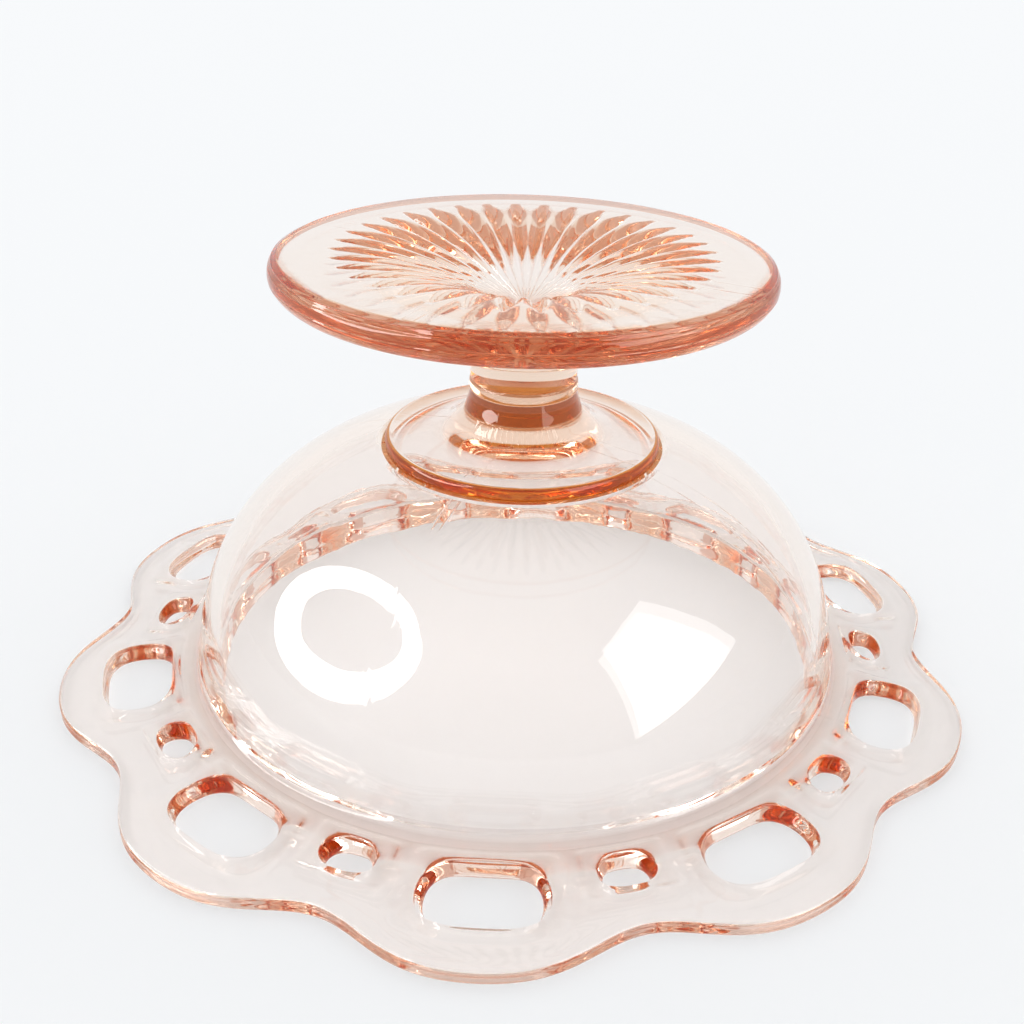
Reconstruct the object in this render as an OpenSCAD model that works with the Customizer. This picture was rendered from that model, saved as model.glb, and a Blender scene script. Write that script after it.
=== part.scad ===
// Footed candy dish in pressed glass, with a pierced lace rim.
// The dish is drawn turned over: it stands on its scalloped rim with its foot in the air.
// Z = 0 is the surface under the rim, the axis of the dish is the Z axis, and -Y is the front.
// The glass is one pressing. Each node is one zone of it, and the zones meet face to face.

/* [Overall] */
// Diameter over the tips of the lobes
rim_d = 178; // [172:1:184]
// Height from the rim's resting face to the sole of the foot
overall_h = 82.6; // [80:0.2:88]

/* [Lace rim] */
// Number of lobes round the rim
lobe_count = 10; // [9:1:11]
// How deep the notches between the lobes cut in
notch_depth = 7.5; // [4:0.5:8.5]
// Thickness of the rim at its outer edge
edge_t = 2.7; // [2:0.1:3.4]
// Thickness of the rim beside the holes
web_t = 4.3; // [3.8:0.1:4.8]
// Width of a large hole, measured round the rim
lobe_hole_w = 17.4; // [14:0.2:17.4]
// Length of a large hole, measured outward
lobe_hole_l = 11.4; // [9:0.2:12]
// Width of a small hole, measured round the rim
notch_hole_w = 7.6; // [6:0.2:8]
// Length of a small hole, measured outward
notch_hole_l = 5.2; // [4:0.2:5.6]

/* [Bowl] */
// Outside diameter of the bowl at its mouth
bowl_d = 125.8; // [124:0.2:126]
// Wall thickness at the mouth
wall_t = 3.7; // [3:0.1:4.5]
// Squareness of the bowl's side, where 2 is a plain ellipse
bowl_power = 2.4; // [2.2:0.1:2.8]

/* [Collar and stem] */
// Diameter of the collar disc
collar_d = 51.9; // [48:0.1:52]
// Height of the collar disc's upright edge
collar_edge_h = 2.2; // [1.6:0.1:2.6]
// Diameter of the stem
stem_d = 19.8; // [18:0.2:21]

/* [Foot] */
// Diameter of the foot over its edge
foot_d = 89.8; // [84:0.2:94]
// Height of the foot's edge
foot_edge_h = 5.6; // [5:0.1:6.5]
// Number of flutes in the sunburst under the foot
flute_count = 36; // [30:1:40]
// Depth of the sunburst at its centre
sunburst_depth = 9.5; // [7:0.5:10]

/* [Hidden] */
$fn = 96;

// Turn of the first lobe away from the front
lobe_turn = -4;
// Extra length on every cutting tool, so that it clears the faces it cuts
past = 1;

// Lace rim: the joint with the bowl, the raised ring beside it and the flat web
joint_r = bowl_d/2 + 0.1;
ring_r = joint_r + 3.6;
ring_t = web_t + 1.1;
ring_slope = 0.8;
web_out_r = rim_d/2 - 9;
// Radii at which the rows of holes are centred
lobe_hole_r = 74.1;
notch_hole_r = 70.9;
lobe_hole_corner = 4.2;
notch_hole_corner = 2.3;
// The outline is a mean radius with two waves on it
lobe_wave = notch_depth/2;
lobe_flat = 0.68;
outline_points = 20*lobe_count;
edge_soft = 0.6;
edge_flat = 1;

// Bowl: height of its crown if it went on under the collar, and the flat it is cut to
bowl_crown = 48.8;
bowl_top_z = 45.9;
floor_t = 4.8;
lip_r = 1.2;
wall_steps = 26;

// Collar: the disc, its hollow upper face and the neck up to the ring on the stem
disc_top_z = bowl_top_z + collar_edge_h;
disc_taper = 0.4;
face_rise = 0.5;
face_run = 5.5;
neck_r = stem_d/2 - 0.15;
neck_foot_r = neck_r + 1.25;
neck_foot_z = disc_top_z + 4.9;
neck_flare = 1.4;
stem_z0 = 57;

// Stem: a low ring at its lower end
stem_r = stem_d/2;
ring_h = 2.3;
ring_swell = 0.2;
stem_z1 = 66;
stem_flare = 3;

// Foot: edge with grooves, and the underside that falls to the stem
foot_r = foot_d/2;
sole_z = overall_h;
edge_z = sole_z - foot_edge_h;
sole_corner = 1.2;
edge_swell = 0.4;
edge_root = 0.9;
edge_rise = 2;
groove_h = 0.35;
groove_d = 0.35;
groove_drops = [1.5, 3.3, 4.6];
foot_root_r = stem_r + 0.5;
under_ease = 0.8;
// Sunburst: radius at the valleys' tips, how far the ribs stand in from them as a share of it,
// and its side as [share of the radius, share of the depth]
sunburst_r = 34.2;
flute_bite = 0.2;
flute_points = 4;
sunburst_curve = [[1, 0], [0.79, 0.12], [0.5, 0.38], [0.24, 0.72], [0.06, 1]];

// Radius of an egg-shaped bowl of mouth radius a and crown height b, at height z
function bowl_r(z, a, b) = a*pow(1 - pow(z/b, bowl_power), 1/bowl_power);

// Points down one side of that bowl, from height z0 to z1
function wall_side(a, b, z0, z1) =
    [for (i = [0:wall_steps]) let (z = z0 + (z1 - z0)*sin(90*i/wall_steps)) [bowl_r(z, a, b), z]];

// Radius of the scalloped outline at an angle from the middle of a lobe
function outline_r(angle) = rim_d/2 - lobe_wave + lobe_flat
    + lobe_wave*cos(lobe_count*angle) - lobe_flat*cos(2*lobe_count*angle);

// Scalloped plate of the rim's outline, drawn in by a margin
module scallop(height, margin = 0) {
    linear_extrude(height)
        polygon([for (i = [0:outline_points - 1])
            let (a = 360*i/outline_points) (outline_r(a) - margin)*[cos(a), sin(a)]]);
}

// Rectangle with round corners, used upright as a hole tool
module round_block(length, width, corner, height) {
    linear_extrude(height) {
        square([length - 2*corner, width], center = true);
        square([length, width - 2*corner], center = true);
        for (x = [-1, 1], y = [-1, 1])
            translate([x*(length/2 - corner), y*(width/2 - corner)]) circle(corner);
    }
}

// One row of holes, equally spaced from a starting angle
module hole_row(start, radius, length, width, corner) {
    for (i = [0:lobe_count - 1])
        rotate(start + 360*i/lobe_count) translate([radius, 0, -past])
            round_block(length, width, corner, ring_t + 2*past);
}

// Section of the rim: raised ring by the bowl, flat web, then a fall to the edge
module rim_section() {
    polygon([[joint_r, 0], [rim_d/2 + past, 0], [rim_d/2 + past, edge_t], [rim_d/2 - edge_flat, edge_t],
        [web_out_r, web_t], [ring_r + ring_slope, web_t], [ring_r, ring_t], [joint_r, ring_t]]);
}

module lace_rim() {
    color("lightpink")
    rotate(lobe_turn - 90)
    difference() {
        intersection() {
            rotate_extrude() rim_section();
            union() {
                scallop(edge_soft, edge_soft);
                translate([0, 0, edge_soft]) scallop(ring_t);
            }
        }
        hole_row(0, lobe_hole_r, lobe_hole_l, lobe_hole_w, lobe_hole_corner);
        hole_row(180/lobe_count, notch_hole_r, notch_hole_l, notch_hole_w, notch_hole_corner);
    }
}

// Section of the bowl: upright foot at the mouth, curved wall, flat top under the collar
module bowl_section() {
    inner_a = bowl_d/2 - wall_t;
    inner_b = bowl_crown - floor_t;
    outer = wall_side(bowl_d/2, bowl_crown, ring_t, bowl_top_z);
    inner = wall_side(inner_a, inner_b, lip_r, inner_b);
    polygon(concat(
        [[joint_r, 0], [joint_r, ring_t]], outer, [[0, bowl_top_z]],
        [for (i = [len(inner) - 1:-1:0]) inner[i]], [[inner_a + lip_r, 0]]));
}

module bowl() {
    color("mistyrose") rotate_extrude() bowl_section();
}

// Quarter-round hollow from the disc up to the neck, as part of a section
function hollow(r0, z0, r1, z1) =
    [for (i = [8:-1:0]) let (a = 90*i/8) [r1 - (r1 - r0)*cos(a), z0 - (z0 - z1)*sin(a)]];

module collar() {
    color("salmon")
    rotate_extrude()
        polygon(concat(
            [[0, bowl_top_z], [collar_d/2, bowl_top_z], [collar_d/2 - disc_taper, disc_top_z]],
            hollow(neck_foot_r, neck_foot_z, neck_foot_r + face_run, disc_top_z + face_rise),
            [[neck_r, neck_foot_z + neck_flare], [neck_r, stem_z0], [0, stem_z0]]));
}

module stem() {
    color("lightsalmon")
    rotate_extrude()
        polygon(concat(
            [[0, stem_z0]],
            [for (i = [0:6]) let (a = 180*i/6) [stem_r + ring_swell*sin(a), stem_z0 + ring_h*i/6]],
            [[stem_r, stem_z1 - stem_flare], [foot_root_r, stem_z1], [0, stem_z1]]));
}

// Section of the foot without its sunburst: hollow underside, grooved edge, flat sole
module foot_section() {
    edge_r = foot_r - edge_root - edge_swell/2;
    drop = edge_z - stem_z1;
    difference() {
        polygon(concat(
            [[0, stem_z1], [foot_root_r, stem_z1]],
            [for (i = [1:9]) let (s = i/9)
                [foot_root_r + (edge_r - foot_root_r)*s*s, stem_z1 + drop*sin(90*pow(s, under_ease))]],
            [[foot_r - edge_swell, edge_z + edge_root], [foot_r, edge_z + edge_rise],
                [foot_r, sole_z - sole_corner]],
            [for (i = [1:4]) let (a = 90*i/4)
                [foot_r - sole_corner*(1 - cos(a)), sole_z - sole_corner*(1 - sin(a))]],
            [[0, sole_z]]));
        for (drop_z = groove_drops)
            translate([foot_r - groove_d, sole_z - drop_z - groove_h/2]) square([past, groove_h]);
    }
}

// Radius of the fluted outline, as a share of its largest: round ribs with a sharp valley between
function flute_r(angle) = 1 - flute_bite*abs(sin(flute_count*angle/2));

// Sunburst tool: fluted rings from above the sole down to the centre, joined by triangles
module sunburst() {
    ring_n = flute_count*flute_points;
    rings = concat([[1, -past/sunburst_depth]], sunburst_curve);
    last = len(rings) - 1;
    polyhedron(
        points = [for (ring = rings, i = [0:ring_n - 1]) let (a = 360*i/ring_n)
            [sunburst_r*ring[0]*flute_r(a)*cos(a), sunburst_r*ring[0]*flute_r(a)*sin(a),
                sole_z - sunburst_depth*ring[1]]],
        faces = concat(
            [[for (i = [ring_n - 1:-1:0]) i]],
            [for (k = [0:last - 1], i = [0:ring_n - 1]) let (j = (i + 1) % ring_n)
                [k*ring_n + i, k*ring_n + j, (k + 1)*ring_n + i]],
            [for (k = [0:last - 1], i = [0:ring_n - 1]) let (j = (i + 1) % ring_n)
                [k*ring_n + j, (k + 1)*ring_n + j, (k + 1)*ring_n + i]],
            [[for (i = [0:ring_n - 1]) last*ring_n + i]]));
}

module foot() {
    color("peachpuff")
    difference() {
        rotate_extrude() foot_section();
        sunburst();
    }
}

lace_rim();
bowl();
collar();
stem();
foot();
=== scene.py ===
"""Pressed-glass candy dish on a lace rim, turned over on its rim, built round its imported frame.

The real dish is one pressing. Each piece here is one zone of it, a closed body of the same glass.
Sizes are in millimetres until a point is placed. +Z is up and the front is -Y.
"""

import math

import bmesh
import bpy
from mathutils import Matrix, Vector

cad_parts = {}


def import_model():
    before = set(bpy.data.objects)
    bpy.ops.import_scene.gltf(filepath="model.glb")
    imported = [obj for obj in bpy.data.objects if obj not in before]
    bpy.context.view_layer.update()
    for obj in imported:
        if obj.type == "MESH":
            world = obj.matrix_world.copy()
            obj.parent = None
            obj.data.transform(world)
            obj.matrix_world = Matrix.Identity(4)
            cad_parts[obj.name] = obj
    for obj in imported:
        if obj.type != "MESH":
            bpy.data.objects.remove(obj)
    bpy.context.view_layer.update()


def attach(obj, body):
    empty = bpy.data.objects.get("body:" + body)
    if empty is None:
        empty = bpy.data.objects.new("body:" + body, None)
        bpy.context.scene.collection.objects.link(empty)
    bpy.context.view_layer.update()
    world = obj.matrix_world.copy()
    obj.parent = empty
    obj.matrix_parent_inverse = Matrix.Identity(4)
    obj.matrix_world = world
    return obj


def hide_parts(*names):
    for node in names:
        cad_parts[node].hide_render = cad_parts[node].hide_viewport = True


MM = 0.001
WHOLE_TURN = 2 * math.pi

# Camera: where it stands and how it looks down, turns and tips
CAMERA_PLACE = (-1.69, -212.16, 141.29)
CAMERA_PITCH = 0.4794
CAMERA_YAW = -0.0536
CAMERA_ROLL = 0.0415
CAMERA_LENS = 42.86
CAMERA_SHIFT = -0.0572

# Lace rim: ten lobes, each with a large hole in it and a small hole at the notch beside it
LOBES = 10
FIRST_LOBE = math.radians(-94)
RIM_COLUMNS = 12
JOINT_R = 63.0
LOBE_MEAN, LOBE_WAVE, LOBE_FLAT = 85.93, 3.75, 0.68
SCALLOP_FROM = 73.5
# Each hole: the radius of its middle, its turn in degrees from the lobe, its half sizes and its corner
LARGE_HOLE = {"radius": 74.1, "turn": 0.0, "half_out": 5.7, "half_round": 8.7, "corner": 4.4}
LARGE_MOUTH = {"radius": 74.5, "turn": 0.0, "half_out": 6.4, "half_round": 11.0, "corner": 5.4}
SMALL_HOLE = {"radius": 70.9, "turn": 18.0, "half_out": 2.6, "half_round": 3.6, "corner": 2.3}
SMALL_MOUTH = {"radius": 71.2, "turn": 18.0, "half_out": 3.2, "half_round": 5.5, "corner": 3.0}
# A sector starts between two holes. The radii bound the faces that each hole takes out of it.
SECTOR_START = -12.0
LARGE_HOLE_FACES = (68.0, 79.7)
SMALL_HOLE_FACES = (68.0, 73.4)
# Rows of the rim's top from the bowl outwards, its edge, and its underside back to the bowl
RIM_TOP = [(63.0, 6.4), (63.4, 5.7), (64.3, 5.1), (65.4, 4.75), (66.6, 4.45), (67.6, 4.2), (70.9, 3.45),
           (73.5, 3.05), (76.6, 3.0), (79.8, 3.0), (83.3, 3.0), (86.2, 2.9), (88.4, 3.05)]
RIM_EDGE = [(89.1, 2.4), (88.7, 1.6), (89.1, 0.8)]
RIM_UNDER = [(88.4, 0.0), (86.4, 0.1), (83.3, 0.35), (79.8, 0.4), (76.6, 0.4), (73.5, 0.4), (70.9, 0.4),
             (67.6, 0.35), (66.0, 0.2), (63.0, 0.0)]
# Each hole is funnelled from a wide mouth to its throat, and stands in a raised boss
BOSS_LIFT = 0.5
BOSS_DRAFT = 0.95
WAIST_LIFT = 0.45
# Heights that part the top of the web from its underside, and the top from the walls of the holes
WEB_MIDDLE = 2.0
WEB_TOP = 2.6
WAIST_HEIGHTS = (1.0, 2.4)
# How near a point is to a hole's outline, and to its azimuth in radians, to belong to it
ON_OUTLINE = 0.08
AT_HOLE = 0.25
# The search for a hole's outline: the furthest it looks, and how often it halves what is left
MOST_REACH = 8.0
HALVINGS = 40

# Bowl: squared-off ellipse outside and inside, from the top of the raised ring up
BOWL_A, BOWL_B, BOWL_POWER = 63.15, 48.8, 2.4
HOLLOW_A, HOLLOW_B = 59.2, 44.0
RING_TOP = RIM_TOP[0][1]
BOWL_TOP = 45.9
WALL_STEPS = 34

# Collar: where its fillet runs into the neck, and the top of the neck's band that gets the darkest painted
# shade
DISC_R = 25.85
NECK_LOW, NECK_PAINTED_DARKEST_TOP = 53.4, 55.9

# Joints of the zones, kept a hair apart
STEM_LOW, STEM_HIGH = 57.0, 66.0
HAIR = 0.01
# Upright part of a face's normal past which the face counts as level
LEVEL = 0.99

# Foot: its edge with fine grooves, each a drop below the sole and a depth, and its sunburst
SOLE_Z = 82.6
FOOT_R = 44.9
FOOT_EDGE_FROM = 43.1
EDGE_UP, EDGE_DOWN = 2.8, 2.75
GROOVES = {4.6: 0.07, 3.3: 0.16, 1.3: 0.14, 0.65: 0.1}
GROOVE_HALF = 0.16
FLUTES = 36
FLUTE_COLUMNS = 10
FIRST_FLUTE = math.radians(93.7)
BURST_R = 34.2
BURST_FROM_Z = 72
LEAST_BITE = 0.004
# Crest of a rib, from the sole to the centre
BURST_CREST = [(34.2, 82.6), (33.4, 82.6), (32.4, 82.58), (31.2, 82.54), (29.6, 82.44), (27.6, 82.25),
               (25.2, 81.9), (22.6, 81.35), (19.8, 80.55), (17.0, 79.7), (14.2, 78.6), (11.6, 77.5),
               (9.2, 76.5), (7.0, 75.6), (5.0, 74.8), (3.2, 74.0), (1.6, 73.4), (0, 73.1)]

# Skin of the glass: how far apart its waves, its ripples and the scuffs on the sole are, and their depths
SKIN_WAVE, SKIN_RIPPLE, SCUFF = 9.1, 1.54, 4.17
WAVE_DEPTH, RIPPLE_DEPTH, SEAM_HEIGHT = 0.03, 0.002, 0.008
FIRST_SEAM = math.radians(26)

# Glass, floor and light. Densities are per metre.
GLASS_TINT = "EFB34A"
GLASS_DENSITY = 25.0
# The bowl's copy of the glass absorbs less than the rest, which paints the bowl lighter than the same glass
# would be
BOWL_LIGHTENED_DENSITY = 15.0
# Amber painted on faces seen edge-on: painted shade standing in for the long way light takes through the
# glass
EDGE_ON_PAINTED_SHADE_COLOUR = "BC5F10"
GLASS_IOR = 1.52
FLOOR_GAP = 0.05
FLOOR_COLOUR = "C1C2C3"
FLOOR_GLOW = 0.66
SKY_COLOUR = "FBFCFD"
SKY_STRENGTH = 0.84
ROOM_STRENGTH = 0.6
# Ring lamp: its radius, its opening as shares of it, and how far up the opening sits
RING_LAMP_MIDDLE = (-398, -124, 263)
RING_LAMP_R = 241
RING_LAMP_OPENING = (0.76, 0.62)
RING_LAMP_RISE = 38
RING_LAMP_STRENGTH = 7.0
SOFT_BOX_CORNERS = [(217, -307, 409), (337, -441, 48), (285, -87, 458), (509, -70, 189)]
SOFT_BOX_STRENGTH = 2.4
# Light runs a long way along the inside of a web before it gets out
BOUNCES_IN_GLASS = 96


def srgb(code):
    """Linear colour of an sRGB hex value."""
    parts = [int(code[i:i + 2], 16) / 255 for i in (0, 2, 4)]
    return [c / 12.92 if c <= 0.04045 else ((c + 0.055) / 1.055) ** 2.4 for c in parts] + [1.0]


# ---------------------------------------------------------------- modelling

def start_piece(name, radius, height, azimuth=0.0):
    """A new piece that is a single point, left in edit mode with the point selected."""
    bpy.ops.object.select_all(action="DESELECT")
    bpy.ops.mesh.primitive_plane_add(size=MM, location=(0, 0, 0))
    piece = bpy.context.object
    piece.name = piece.data.name = name
    bpy.ops.object.mode_set(mode="EDIT")
    bpy.ops.mesh.select_mode(type="VERT")
    bpy.ops.mesh.select_all(action="SELECT")
    bpy.ops.mesh.merge(type="CENTER")
    place = (radius * math.cos(azimuth) * MM, radius * math.sin(azimuth) * MM, height * MM)
    bpy.ops.transform.translate(value=place)
    return piece


def draw_section(points, azimuth=0.0):
    """Extrudes the selected point from one (radius, height) of a section to the next."""
    for (r0, z0), (r1, z1) in zip(points, points[1:]):
        out = (r1 - r0) * MM
        step = (out * math.cos(azimuth), out * math.sin(azimuth), (z1 - z0) * MM)
        bpy.ops.mesh.extrude_vertices_move(TRANSFORM_OT_translate={"value": step})


def spin(angle, steps, copies=False):
    """Spins everything in the mesh round the dish's axis."""
    bpy.ops.mesh.select_all(action="SELECT")
    bpy.ops.mesh.spin(steps=steps, dupli=copies, angle=angle, center=(0, 0, 0), axis=(0, 0, 1))


def weld():
    """Merges the doubles of a closed mesh and turns its faces outwards."""
    bpy.ops.mesh.select_all(action="SELECT")
    bpy.ops.mesh.remove_doubles(threshold=0.002 * MM)
    bpy.ops.mesh.normals_make_consistent(inside=False)


def pick(test):
    """Selects the points whose radius, azimuth and height pass a test."""
    cage = bmesh.from_edit_mesh(bpy.context.object.data)
    for point in cage.verts:
        x, y, z = (c / MM for c in point.co)
        point.select = bool(test(math.hypot(x, y), math.atan2(y, x), z))
    cage.select_flush_mode()


def pick_faces(test):
    """Selects the faces whose middle passes a test."""
    cage = bmesh.from_edit_mesh(bpy.context.object.data)
    bpy.ops.mesh.select_all(action="DESELECT")
    for face in cage.faces:
        x, y, z = (c / MM for c in face.calc_center_median())
        face.select_set(bool(test(math.hypot(x, y), math.atan2(y, x), z)))


def move(x=0.0, y=0.0, z=0.0):
    """Moves what is selected."""
    bpy.ops.transform.translate(value=(x * MM, y * MM, z * MM))


def finish_piece(piece, smooth_angle=35):
    """Leaves edit mode and shades the piece smooth, apart from its creases."""
    bpy.ops.object.mode_set(mode="OBJECT")
    bpy.ops.object.shade_smooth_by_angle(angle=math.radians(smooth_angle))
    return piece


def mark_faces(piece, name, test, value=1.0):
    """Marks the faces whose radius, height and normal pass a test."""
    found = piece.data.attributes.get(name)
    mark = found or piece.data.attributes.new(name, "FLOAT", "FACE")
    for face in piece.data.polygons:
        x, y, z = (c / MM for c in face.center)
        if test(math.hypot(x, y), z, face.normal):
            mark.data[face.index].value = value


def turned(name, section, steps=240):
    """A solid turned from a section that starts and ends on the axis."""
    piece = start_piece(name, *section[0])
    draw_section(section)
    spin(WHOLE_TURN, steps)
    weld()
    return finish_piece(piece)


def curve_through(points, steps):
    """A smooth section through a few points, evenly filled in between them."""
    ends = [points[0]] + list(points) + [points[-1]]
    path = []
    for a, b, c, d in zip(ends, ends[1:], ends[2:], ends[3:]):
        for i in range(steps):
            t = i / steps
            path.append(tuple(
                0.5 * (2 * q + (r - p) * t + (2 * p - 5 * q + 4 * r - s) * t * t
                       + (3 * q - p - 3 * r + s) * t ** 3)
                for p, q, r, s in zip(a, b, c, d)))
    return path + [tuple(points[-1])]


# ---------------------------------------------------------------- lace rim

def outline_r(turn):
    """Radius of the scalloped outline, at a turn in radians from the middle of a lobe."""
    return LOBE_MEAN + LOBE_WAVE * math.cos(LOBES * turn) - LOBE_FLAT * math.cos(2 * LOBES * turn)


def from_hole(hole, radius, azimuth):
    """A point's place from the middle of a hole, outwards and round the rim, and the hole's azimuth."""
    middle = FIRST_LOBE + math.radians(hole["turn"])
    turn = azimuth - middle
    return radius * math.cos(turn) - hole["radius"], radius * math.sin(turn), middle


def outside_by(hole, out, along):
    """Distance of a point outside a hole's outline."""
    x = max(abs(out) - hole["half_out"] + hole["corner"], 0)
    y = max(abs(along) - hole["half_round"] + hole["corner"], 0)
    return math.hypot(x, y) - hole["corner"]


def reach(hole, out, along):
    """How much of the way from a hole's middle to a point gives its outline."""
    low, high = 0.0, MOST_REACH
    for _ in range(HALVINGS):
        share = (low + high) / 2
        if outside_by(hole, out * share, along * share) < 0:
            low = share
        else:
            high = share
    return low


def same_angle(a, b, room=0.005):
    """Whether two azimuths are the same, whole turns apart or not."""
    return abs((a - b + math.pi) % WHOLE_TURN - math.pi) < room


def rim_columns():
    """Azimuths of the columns of one sector, which starts and ends between holes."""
    pitch = WHOLE_TURN / LOBES / RIM_COLUMNS
    return [FIRST_LOBE + math.radians(SECTOR_START) + i * pitch for i in range(RIM_COLUMNS + 1)]


def scallop_sector():
    """Stretches each column of the sector to the outline."""
    for azimuth in rim_columns():
        pick(lambda r, a, z: r > SCALLOP_FROM + 0.1 and same_angle(a, azimuth))
        share = (outline_r(azimuth - FIRST_LOBE) - SCALLOP_FROM) / (RIM_EDGE[0][0] - SCALLOP_FROM)
        root = (SCALLOP_FROM * MM * math.cos(azimuth), SCALLOP_FROM * MM * math.sin(azimuth), 0)
        bpy.ops.transform.resize(value=(share, share, 1), center_override=root)


def rim_points(test):
    """Places of the sector's points that pass a test on place and on lying at an opening."""
    cage = bmesh.from_edit_mesh(bpy.context.object.data)
    found = []
    for point in cage.verts:
        x, y, z = (c / MM for c in point.co)
        if test(math.hypot(x, y), math.atan2(y, x), z, point.is_boundary):
            found.append((math.hypot(x, y), math.atan2(y, x), z))
    return found


def fit_to_hole(hole, places):
    """Moves points, one by one, on to the outline of a hole."""
    for radius, azimuth, height in places:
        out, along, middle = from_hole(hole, radius, azimuth)
        share = reach(hole, out, along) - 1
        pick(lambda r, a, z: abs(r - radius) < 0.05 and abs(z - height) < 0.2
             and same_angle(a, azimuth, 0.001))
        cos, sin = math.cos(middle), math.sin(middle)
        move(share * (out * cos - along * sin), share * (out * sin + along * cos))


def open_hole(throat, mouth, half_turn, low_r, high_r):
    """Cuts one hole of the sector through and walls it from its wide mouth to its throat."""
    middle = FIRST_LOBE + math.radians(throat["turn"])
    pick_faces(lambda r, a, z: low_r < r < high_r and same_angle(a, middle, half_turn))
    bpy.ops.mesh.delete(type="FACE")
    room = half_turn + 0.01
    fit_to_hole(mouth, rim_points(
        lambda r, a, z, opening: opening and z > WEB_MIDDLE and same_angle(a, middle, room)))
    fit_to_hole(throat, rim_points(
        lambda r, a, z, opening: opening and z < WEB_MIDDLE and same_angle(a, middle, room)))

    def on(hole, r, a):
        out, along, _ = from_hole(hole, r, a)
        return same_angle(a, middle, AT_HOLE) and abs(outside_by(hole, out, along)) < ON_OUTLINE

    pick(lambda r, a, z: on(mouth if z > WEB_MIDDLE else throat, r, a))
    bpy.ops.mesh.bridge_edge_loops(number_cuts=1)
    low, high = WAIST_HEIGHTS
    pick(lambda r, a, z: low < z < high and same_angle(a, middle, AT_HOLE)
         and outside_by(mouth, *from_hole(mouth, r, a)[:2]) < 0)
    move(z=WAIST_LIFT)
    raise_boss(mouth)


def raise_boss(mouth):
    """Raises the ring of faces round a hole's mouth."""
    def outside(co):
        radius, azimuth = math.hypot(co.x, co.y) / MM, math.atan2(co.y, co.x)
        return outside_by(mouth, *from_hole(mouth, radius, azimuth)[:2])

    cage = bmesh.from_edit_mesh(bpy.context.object.data)
    bpy.ops.mesh.select_all(action="DESELECT")
    for face in cage.faces:
        middle = face.calc_center_median()
        at_mouth = any(p.co.z > WEB_TOP * MM and abs(outside(p.co)) < ON_OUTLINE for p in face.verts)
        face.select_set(middle.z > WEB_TOP * MM and at_mouth and outside(middle) > 0.05)
    bpy.ops.mesh.extrude_region_move(TRANSFORM_OT_translate={"value": (0, 0, BOSS_LIFT * MM)})
    azimuth = FIRST_LOBE + math.radians(mouth["turn"])
    centre = (mouth["radius"] * MM * math.cos(azimuth), mouth["radius"] * MM * math.sin(azimuth), 0)
    bpy.ops.transform.resize(value=(BOSS_DRAFT, BOSS_DRAFT, 1), center_override=centre)


def widen_web(half_turn):
    """Moves the columns beside the large hole 1 mm away from it."""
    for side in (-1, 1):
        azimuth = FIRST_LOBE + side * half_turn * 1.5
        pick(lambda r, a, z: 67 < r < 84 and same_angle(a, azimuth))
        move(-side * math.sin(azimuth), side * math.cos(azimuth))


def make_lace_rim():
    """One sector is cut and shaped, then copied round and rounded off."""
    start = rim_columns()[0]
    section = RIM_TOP + RIM_EDGE + RIM_UNDER
    piece = start_piece("lace_rim_glass", *section[0], azimuth=start)
    draw_section(section, start)
    pick(lambda r, a, z: r < JOINT_R + 0.1)
    bpy.ops.mesh.edge_face_add()
    spin(-WHOLE_TURN / LOBES, RIM_COLUMNS)
    weld()
    scallop_sector()
    column = WHOLE_TURN / LOBES / RIM_COLUMNS
    widen_web(2 * column)
    open_hole(LARGE_HOLE, LARGE_MOUTH, 2 * column, *LARGE_HOLE_FACES)
    open_hole(SMALL_HOLE, SMALL_MOUTH, column, *SMALL_HOLE_FACES)
    spin(WHOLE_TURN * (LOBES - 1) / LOBES, LOBES - 1, copies=True)
    weld()
    crease_joint_rings()
    bpy.ops.object.mode_set(mode="OBJECT")
    rounding = piece.modifiers.new("rounding", "SUBSURF")
    rounding.levels = rounding.render_levels = 2
    bpy.ops.object.modifier_apply(modifier=rounding.name)
    finish_piece(piece, 40)
    mark_faces(piece, "joint", lambda r, z, n: r < JOINT_R + 0.03 and abs(n.z) < 0.2)
    # Painted shade: amber painted on the walls of the holes and on the outer edge, where the glass is seen
    # edge-on
    mark_faces(piece, "edge_on_painted_shade", lambda r, z, n: 68.6 < r < 79.4 and abs(n.z) < 0.6, 0.75)
    mark_faces(piece, "edge_on_painted_shade", lambda r, z, n: r > 81 and abs(n.z) < 0.5, 0.55)
    return piece


def crease_joint_rings():
    """Keeps the two rings that bound the joint with the bowl sharp."""
    cage = bmesh.from_edit_mesh(bpy.context.object.data)
    bpy.ops.mesh.select_all(action="DESELECT")
    for edge in cage.edges:
        ends = [point.co for point in edge.verts]
        level = abs(ends[0].z - ends[1].z) < 0.5 * MM
        edge.select_set(level and all(end.xy.length < (JOINT_R + 0.1) * MM for end in ends))
    bpy.ops.transform.edge_crease(value=1)


# ---------------------------------------------------------------- bowl, collar and stem

def egg_side(a, b, low, high, steps):
    """Points down one side of a squared-off ellipse, from height low to high."""
    side = []
    for i in range(steps + 1):
        z = low + (high - low) * math.sin(math.pi / 2 * i / steps)
        side.append((a * (1 - (z / b) ** BOWL_POWER) ** (1 / BOWL_POWER), z))
    return side


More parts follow.
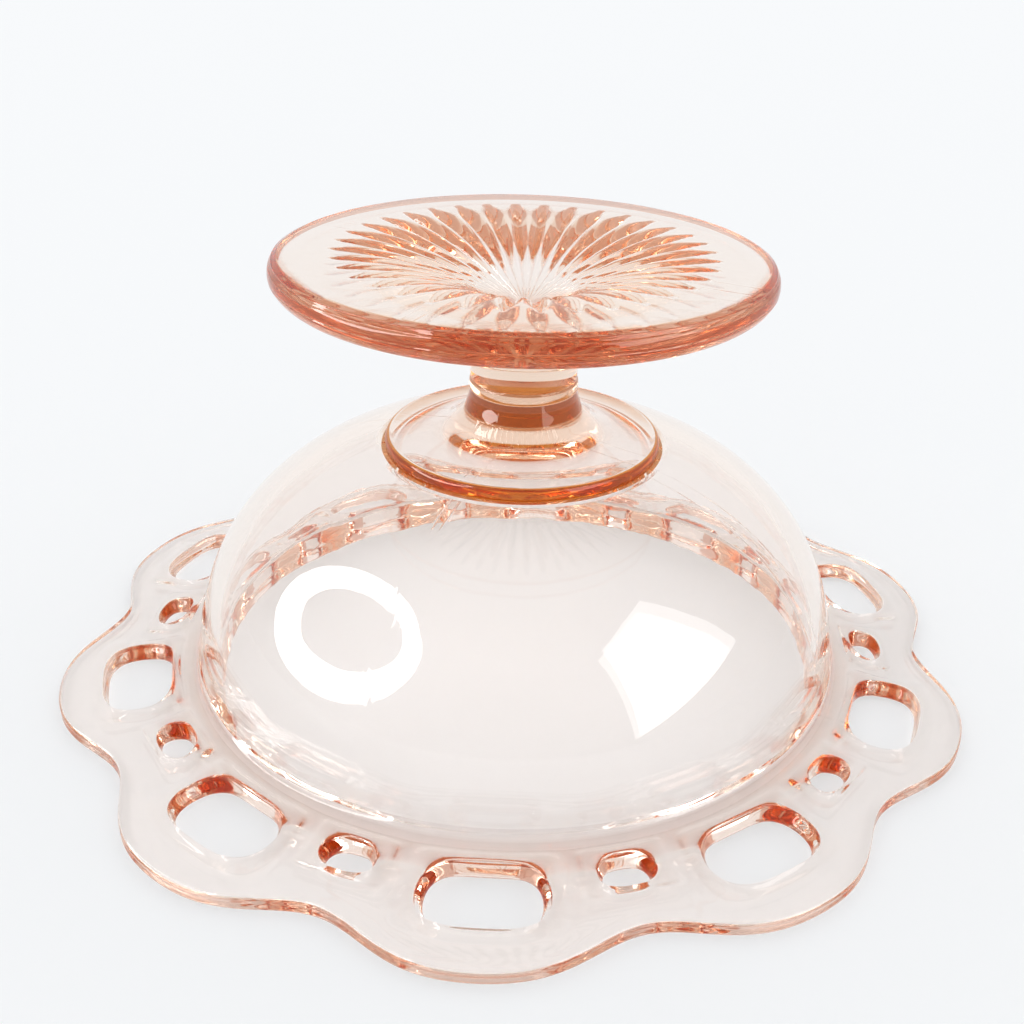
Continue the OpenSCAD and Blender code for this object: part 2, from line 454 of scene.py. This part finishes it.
def make_bowl():
    """The hollow from its middle out to the mouth, then up the outside to the flat under the collar."""
    inside = egg_side(HOLLOW_A, HOLLOW_B, 1.6, HOLLOW_B - 0.0005, WALL_STEPS)
    inside = [(0, HOLLOW_B)] + inside[::-1][1:]
    mouth = [(59.3, 0.8), (59.6, 0.3), (60.1, 0.05), (60.8, 0.0), (JOINT_R - HAIR, 0.0)]
    outside = [(JOINT_R - HAIR, RING_TOP)] + egg_side(BOWL_A, BOWL_B, 7.2, BOWL_TOP - HAIR, WALL_STEPS)
    top = [(26.6, BOWL_TOP - HAIR), (0, BOWL_TOP - HAIR)]
    piece = turned("bowl_glass", inside + mouth + outside + top)
    mark_faces(piece, "joint", lambda r, z, n: r > JOINT_R - 0.06 and z < RING_TOP and abs(n.z) < 0.1)
    mark_faces(piece, "joint", lambda r, z, n: n.z > LEVEL and z > BOWL_TOP - 0.05 and r < DISC_R + 0.05)
    return piece


def make_collar():
    """A disc with a soft edge, whose face sweeps up in a fillet to the neck."""
    disc = [(0, BOWL_TOP), (DISC_R, BOWL_TOP), (25.95, 46.05), (25.98, 46.5), (25.9, 47.2), (25.75, 47.8),
            (25.5, 48.1), (25.1, 48.25)]
    face = curve_through([(25.1, 48.25), (22.0, 48.45), (18.5, 48.9), (15.5, 49.6), (13.3, 50.7),
                          (12.0, 51.9), (11.0, 53.0)], 4)
    neck = curve_through([(11.0, 53.0), (10.75, 53.9), (10.3, 55.3), (9.9, STEM_LOW - HAIR)], 4)
    piece = turned("collar_glass", disc + face[1:] + neck[1:] + [(0, STEM_LOW - HAIR)], 192)
    low, high = BOWL_TOP + 0.02, STEM_LOW - 0.03
    mark_faces(piece, "joint", lambda r, z, n: abs(n.z) > LEVEL and not low < z < high)
    # Painted shade: amber painted on the disc's edge and on the neck, darkest in its lower band
    mark_faces(piece, "edge_on_painted_shade", lambda r, z, n: r > 25.2 and z > low)
    mark_faces(piece, "edge_on_painted_shade", lambda r, z, n: r > 9 and NECK_LOW < z < high, 0.85)
    mark_faces(piece, "edge_on_painted_shade", lambda r, z, n: r > 9 and NECK_LOW < z < NECK_PAINTED_DARKEST_TOP)
    return piece


def make_stem():
    """A low ring at the lower end and a plain shaft that flares into the foot."""
    ring = [(9.9, STEM_LOW), (10.02, 57.15), (10.1, 57.5), (10.13, 58.1), (10.1, 58.7), (10.0, 59.15),
            (9.88, 59.3)]
    shaft = [(9.88, 59.3), (9.9, 60.4), (9.9, 62.5), (9.95, 64.4), (10.4, STEM_HIGH - HAIR)]
    shaft = curve_through(shaft, 4)
    piece = turned("stem_glass", [(0, STEM_LOW)] + ring + shaft[1:] + [(0, STEM_HIGH - HAIR)], 192)
    mark_faces(piece, "joint", lambda r, z, n: abs(n.z) > LEVEL)
    return piece


# ---------------------------------------------------------------- foot

def edge_radius(drop):
    """Radius of the foot's swelling edge at a drop below the sole."""
    if drop < EDGE_UP:
        return FOOT_R - 1.15 * ((EDGE_UP - drop) / EDGE_UP) ** 2
    return FOOT_R - 1.6 * ((drop - EDGE_UP) / EDGE_DOWN) ** 2


def edge_section():
    """The foot's edge from the underside up, with the fine grooves the mould left round it."""
    drops = [5.55, 5.2, 4.9, 4.0, 2.8, 2.2, 1.8]
    for groove in GROOVES:
        drops += [groove + GROOVE_HALF, groove, groove - GROOVE_HALF]
    drops.sort(reverse=True)
    points = [(edge_radius(drop) - GROOVES.get(drop, 0.0), SOLE_Z - drop) for drop in drops]
    return points + [(43.62, 82.3), (43.45, 82.48), (43.2, 82.57), (42.8, 82.6)]


def foot_section():
    """From the joint with the stem out under the foot, up its edge, and in over the sole to the centre."""
    under = [(0, STEM_HIGH), (10.4, STEM_HIGH)]
    for i in range(1, 19):
        s = i / 19
        under.append((10.4 + 32.6 * s * s, STEM_HIGH + 10.75 * math.sin(math.pi / 2 * s ** 0.8)))
    under += [(42.6, 76.72), (43.0, 76.85)]
    sole = [(40.5, 82.6), (37.4, 82.6), (35.0, 82.6)]
    return under + edge_section() + sole + BURST_CREST


def flute_bite(radius, share):
    """Depth of the valley beside a rib; share is 0 in the valley and 1 on the crest."""
    if radius > BURST_R - 0.1:
        return 0.0
    pitch = WHOLE_TURN * radius / FLUTES
    depth = min(0.36 * pitch, 0.4 * (BURST_R - radius) + 0.1)
    opened = min(1.0, (BURST_R - radius) / 7.0)
    if share >= opened:
        return 0.0
    return depth * (1 - math.sin(math.pi / 2 * share / opened))


def press_valleys():
    """Lowers the points beside the crest of the rib into its two valleys."""
    for radius, _ in BURST_CREST[1:-1]:
        for column in range(FLUTE_COLUMNS + 1):
            bite = flute_bite(radius, 1 - abs(2 * column / FLUTE_COLUMNS - 1))
            if bite > LEAST_BITE:
                azimuth = FIRST_FLUTE + WHOLE_TURN / FLUTES * column / FLUTE_COLUMNS
                pick(lambda r, a, z: z > BURST_FROM_Z and abs(r - radius) < 0.1 and same_angle(a, azimuth))
                move(z=-bite)


def make_foot():
    """One rib of the sunburst with its slice of the foot, valley to valley, copied round."""
    section = foot_section()
    piece = start_piece("foot_glass", *section[0], azimuth=FIRST_FLUTE)
    draw_section(section, FIRST_FLUTE)
    spin(-WHOLE_TURN / FLUTES, FLUTE_COLUMNS)
    weld()
    press_valleys()
    spin(WHOLE_TURN * (FLUTES - 1) / FLUTES, FLUTES - 1, copies=True)
    weld()
    finish_piece(piece, 50)
    mark_faces(piece, "joint", lambda r, z, n: n.z < -LEVEL and z < STEM_HIGH + 0.02)
    # Painted shade: amber painted on the foot's edge, where the glass is seen edge-on
    mark_faces(piece, "edge_on_painted_shade", lambda r, z, n: r > FOOT_EDGE_FROM, 0.8)
    return piece


# ---------------------------------------------------------------- glass

def add(tree, kind, settings=None, links=None):
    """Adds a node, sets its properties and sockets, and links its inputs."""
    node = tree.nodes.new(kind)
    for key, value in (settings or {}).items():
        if isinstance(key, str) and key[0].islower():
            setattr(node, key, value)
        else:
            node.inputs[key].default_value = value
    for key, source in (links or {}).items():
        tree.links.new(source, node.inputs[key])
    return node


def chilled_skin(tree, place):
    """Bump of the skin that the cold mould chilled: wide waves with a finer ripple on them."""
    wave = add(tree, "ShaderNodeTexNoise", {"Scale": 1 / (SKIN_WAVE * MM), "Detail": 1.5}, {"Vector": place})
    ripple = add(tree, "ShaderNodeTexNoise", {"Scale": 1 / (SKIN_RIPPLE * MM), "Detail": 1.0},
                 {"Vector": place})
    bump = add(tree, "ShaderNodeBump", {"Strength": 1.0, "Distance": WAVE_DEPTH * MM},
               {"Height": wave.outputs[0]})
    return add(tree, "ShaderNodeBump", {"Strength": 1.0, "Distance": RIPPLE_DEPTH * MM},
               {"Height": ripple.outputs[0], "Normal": bump.outputs[0]})


def mould_seams(tree, xyz, bump):
    """Bump of four mould seams, a quarter turn apart, on top of another bump."""
    angle = add(tree, "ShaderNodeMath", {"operation": "ARCTAN2"}, {0: xyz[1], 1: xyz[0]})
    double = add(tree, "ShaderNodeMath", {"operation": "MULTIPLY_ADD", 1: 2.0, 2: 2 * FIRST_SEAM},
                 {0: angle.outputs[0]})
    across = add(tree, "ShaderNodeMath", {"operation": "SINE"}, {0: double.outputs[0]})
    off = add(tree, "ShaderNodeMath", {"operation": "ABSOLUTE"}, {0: across.outputs[0]})
    seam = add(tree, "ShaderNodeMapRange",
               {"interpolation_type": "SMOOTHSTEP", "From Max": 0.02, "To Min": 1.0, "To Max": 0.0},
               {"Value": off.outputs[0]})
    return add(tree, "ShaderNodeBump", {"Strength": 1.0, "Distance": SEAM_HEIGHT * MM},
               {"Height": seam.outputs[0], "Normal": bump.outputs[0]})


def rubbed_sole(tree, xyz, scuff):
    """Roughness where the sole has rubbed on shelves."""
    at_sole = add(tree, "ShaderNodeMapRange", {"From Min": (SOLE_Z - 0.08) * MM, "From Max": SOLE_Z * MM},
                  {"Value": xyz[2]})
    rough = add(tree, "ShaderNodeMapRange", {"From Min": 0.45, "From Max": 0.75, "To Max": 0.16},
                {"Value": scuff.outputs[0]})
    return add(tree, "ShaderNodeMath", {"operation": "MULTIPLY"},
               {0: rough.outputs[0], 1: at_sole.outputs[0]})


def clear_with_painted_edge_shade(tree, scuff):
    """Nearly clear, with deep amber painted where the glass is seen edge-on: painted shade that stands in
    for the long way light takes through the glass there.
    """
    clear = add(tree, "ShaderNodeMix", {"data_type": "RGBA", 6: srgb("FFFEFF"), 7: srgb("FEFDFD")},
                {0: scuff.outputs[0]})
    edge_on_painted_shade = add(tree, "ShaderNodeAttribute", {"attribute_name": "edge_on_painted_shade"})
    return add(tree, "ShaderNodeMix", {"data_type": "RGBA", 7: srgb(EDGE_ON_PAINTED_SHADE_COLOUR)},
               {0: edge_on_painted_shade.outputs["Fac"], 6: clear.outputs[2]})


def pressed_pink_glass(name, density):
    """Soda-lime glass tinted pink, pressed in an iron mould and fire-polished.

    The pink is in the body of the glass, so a short way through is nearly clear and a long way through is
    amber; deep amber is also painted on the faces seen edge-on, as painted shade for the long way light
    takes there.
    The mould leaves seams and a faint waviness, the fire polish a wet gloss, and use dulls the sole.
    Joint faces, which lie inside the pressing, neither bend nor reflect light.
    """
    material = bpy.data.materials.new(name)
    material.use_nodes = True
    tree = material.node_tree
    tree.nodes.clear()
    place = add(tree, "ShaderNodeTexCoord").outputs["Object"]
    xyz = add(tree, "ShaderNodeSeparateXYZ", links={0: place}).outputs
    scuff = add(tree, "ShaderNodeTexNoise", {"Scale": 1 / (SCUFF * MM), "Detail": 6.0, "Roughness": 0.7},
                {"Vector": place})
    bump = mould_seams(tree, xyz, chilled_skin(tree, place))
    rough = rubbed_sole(tree, xyz, scuff)
    # Base colour: nearly clear, with amber painted shade on the faces seen edge-on
    clear_and_painted_shade = clear_with_painted_edge_shade(tree, scuff)
    joint = add(tree, "ShaderNodeAttribute", {"attribute_name": "joint"})
    index = add(tree, "ShaderNodeMapRange", {"To Min": GLASS_IOR, "To Max": 1.0},
                {"Value": joint.outputs["Fac"]})
    glass = add(tree, "ShaderNodeBsdfPrincipled", {"Transmission Weight": 1.0, "Metallic": 0.0},
                {"Roughness": rough.outputs[0], "IOR": index.outputs[0], "Normal": bump.outputs[0],
                 "Base Color": clear_and_painted_shade.outputs[2]})
    body = add(tree, "ShaderNodeVolumeAbsorption", {"Color": srgb(GLASS_TINT), "Density": density})
    add(tree, "ShaderNodeOutputMaterial", links={"Surface": glass.outputs[0], "Volume": body.outputs[0]})
    return material


# ---------------------------------------------------------------- studio

def make_camera():
    """The camera, pitched down, then turned and rolled a little."""
    data = bpy.data.cameras.new("camera")
    data.lens = CAMERA_LENS
    data.sensor_width = 36.0
    data.shift_x = CAMERA_SHIFT
    data.clip_start, data.clip_end = 0.01, 50.0
    camera = bpy.data.objects.new("camera", data)
    bpy.context.collection.objects.link(camera)
    cw, sw = math.cos(CAMERA_YAW), math.sin(CAMERA_YAW)
    cp, sp = math.cos(CAMERA_PITCH), math.sin(CAMERA_PITCH)
    cr, sr = math.cos(CAMERA_ROLL), math.sin(CAMERA_ROLL)
    right = Vector((cw, sw, 0))
    ahead = Vector((-cp * sw, cp * cw, -sp))
    up = Vector((-sp * sw, sp * cw, cp))
    rows = Matrix((cr * right + sr * up, -sr * right + cr * up, -ahead)).transposed()
    camera.matrix_world = Matrix.Translation(Vector(CAMERA_PLACE) * MM) @ rows.to_4x4()
    bpy.context.scene.camera = camera


def plain_material(name, colour, emission):
    """Matt paint or a lamp's face, in one colour that also glows."""
    material = bpy.data.materials.new(name)
    material.use_nodes = True
    shader = material.node_tree.nodes["Principled BSDF"]
    shader.inputs["Base Color"].default_value = colour
    shader.inputs["Roughness"].default_value = 0.9
    shader.inputs["Specular IOR Level"].default_value = 0.1
    shader.inputs["Emission Color"].default_value = colour
    shader.inputs["Emission Strength"].default_value = emission
    return material


def make_floor():
    """A wide plain sweep, a hair under the dish so that the two never share a face."""
    bpy.ops.object.select_all(action="DESELECT")
    bpy.ops.mesh.primitive_plane_add(size=12, location=(0, 0, -FLOOR_GAP * MM))
    floor = bpy.context.object
    floor.name = "floor"
    floor.data.materials.append(plain_material("matt_white_sweep", srgb(FLOOR_COLOUR), FLOOR_GLOW))


def lamp_from(name, corners, strength):
    """A flat lamp seen only as a reflection, through four corners."""
    bpy.ops.object.select_all(action="DESELECT")
    bpy.ops.mesh.primitive_plane_add(size=1, location=(0, 0, 0))
    lamp = bpy.context.object
    lamp.name = name
    for index, corner in enumerate(corners):
        lamp.data.vertices[index].co = Vector(corner) * MM
    return lit(lamp, strength)


def lit(lamp, strength):
    """Makes a mesh a lamp that the camera and the floor don't see."""
    lamp.data.materials.append(plain_material(lamp.name + "_white", (1, 1, 1, 1), strength))
    lamp.visible_camera = False
    lamp.visible_diffuse = False
    lamp.visible_shadow = False
    return lamp


def make_ring_lamp(middle, outer, inner, rise, strength):
    """A ring of light that faces the dish."""
    bpy.ops.object.select_all(action="DESELECT")
    bpy.ops.mesh.primitive_circle_add(vertices=96, radius=outer * MM)
    lamp = bpy.context.object
    lamp.name = "ring_lamp"
    bpy.ops.object.mode_set(mode="EDIT")
    bpy.ops.mesh.select_all(action="SELECT")
    bpy.ops.mesh.extrude_edges_move()
    bpy.ops.transform.resize(value=(*inner, 1))
    move(y=rise)
    bpy.ops.object.mode_set(mode="OBJECT")
    facing = Vector(middle).to_track_quat("Z", "Y").to_matrix().to_4x4()
    lamp.matrix_world = Matrix.Translation(Vector(middle) * MM) @ facing
    return lit(lamp, strength)


def make_world():
    """Soft light from all round. The room behind the camera is darker than the white sweep."""
    world = bpy.data.worlds.new("studio")
    world.use_nodes = True
    tree = world.node_tree
    tree.nodes.clear()
    ray = add(tree, "ShaderNodeTexCoord").outputs["Generated"]
    xyz = add(tree, "ShaderNodeSeparateXYZ", links={0: ray}).outputs
    dim = add(tree, "ShaderNodeMapRange",
              {"interpolation_type": "SMOOTHSTEP", "From Min": -0.95, "From Max": -0.55,
               "To Min": ROOM_STRENGTH, "To Max": SKY_STRENGTH}, {"Value": xyz[1]})
    glow = add(tree, "ShaderNodeBackground", {"Color": srgb(SKY_COLOUR)}, {"Strength": dim.outputs[0]})
    add(tree, "ShaderNodeOutputWorld", links={"Surface": glow.outputs[0]})
    bpy.context.scene.world = world


def set_light_paths():
    """Crisp contrast, and light paths long enough for thick glass."""
    scene = bpy.context.scene
    scene.view_settings.view_transform = "Standard"
    scene.view_settings.look = "Medium High Contrast"
    scene.cycles.max_bounces = BOUNCES_IN_GLASS
    scene.cycles.transmission_bounces = BOUNCES_IN_GLASS
    scene.cycles.glossy_bounces = BOUNCES_IN_GLASS
    scene.cycles.diffuse_bounces = 4


def main():
    """Builds the studio, then the five zones of the dish, each in place of its CAD node."""
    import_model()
    make_camera()
    make_world()
    make_floor()
    make_ring_lamp(RING_LAMP_MIDDLE, RING_LAMP_R, RING_LAMP_OPENING, RING_LAMP_RISE,
                   RING_LAMP_STRENGTH)
    lamp_from("soft_box", SOFT_BOX_CORNERS, SOFT_BOX_STRENGTH)
    set_light_paths()
    thick = pressed_pink_glass("pressed_fire_polished_pink_glass", GLASS_DENSITY)
    # A lighter copy of the same glass for the bowl: painted lightness, as the glass itself is one
    lightened_bowl_glass = pressed_pink_glass("pressed_fire_polished_pink_glass_painted_lighter_bowl", BOWL_LIGHTENED_DENSITY)
    makers = {"lace_rim": make_lace_rim, "bowl": make_bowl, "collar": make_collar, "stem": make_stem,
              "foot": make_foot}
    for node, make in makers.items():
        piece = make()
        piece.data.materials.append(lightened_bowl_glass if node == "bowl" else thick)
        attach(piece, "root")
        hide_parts(node)


main()
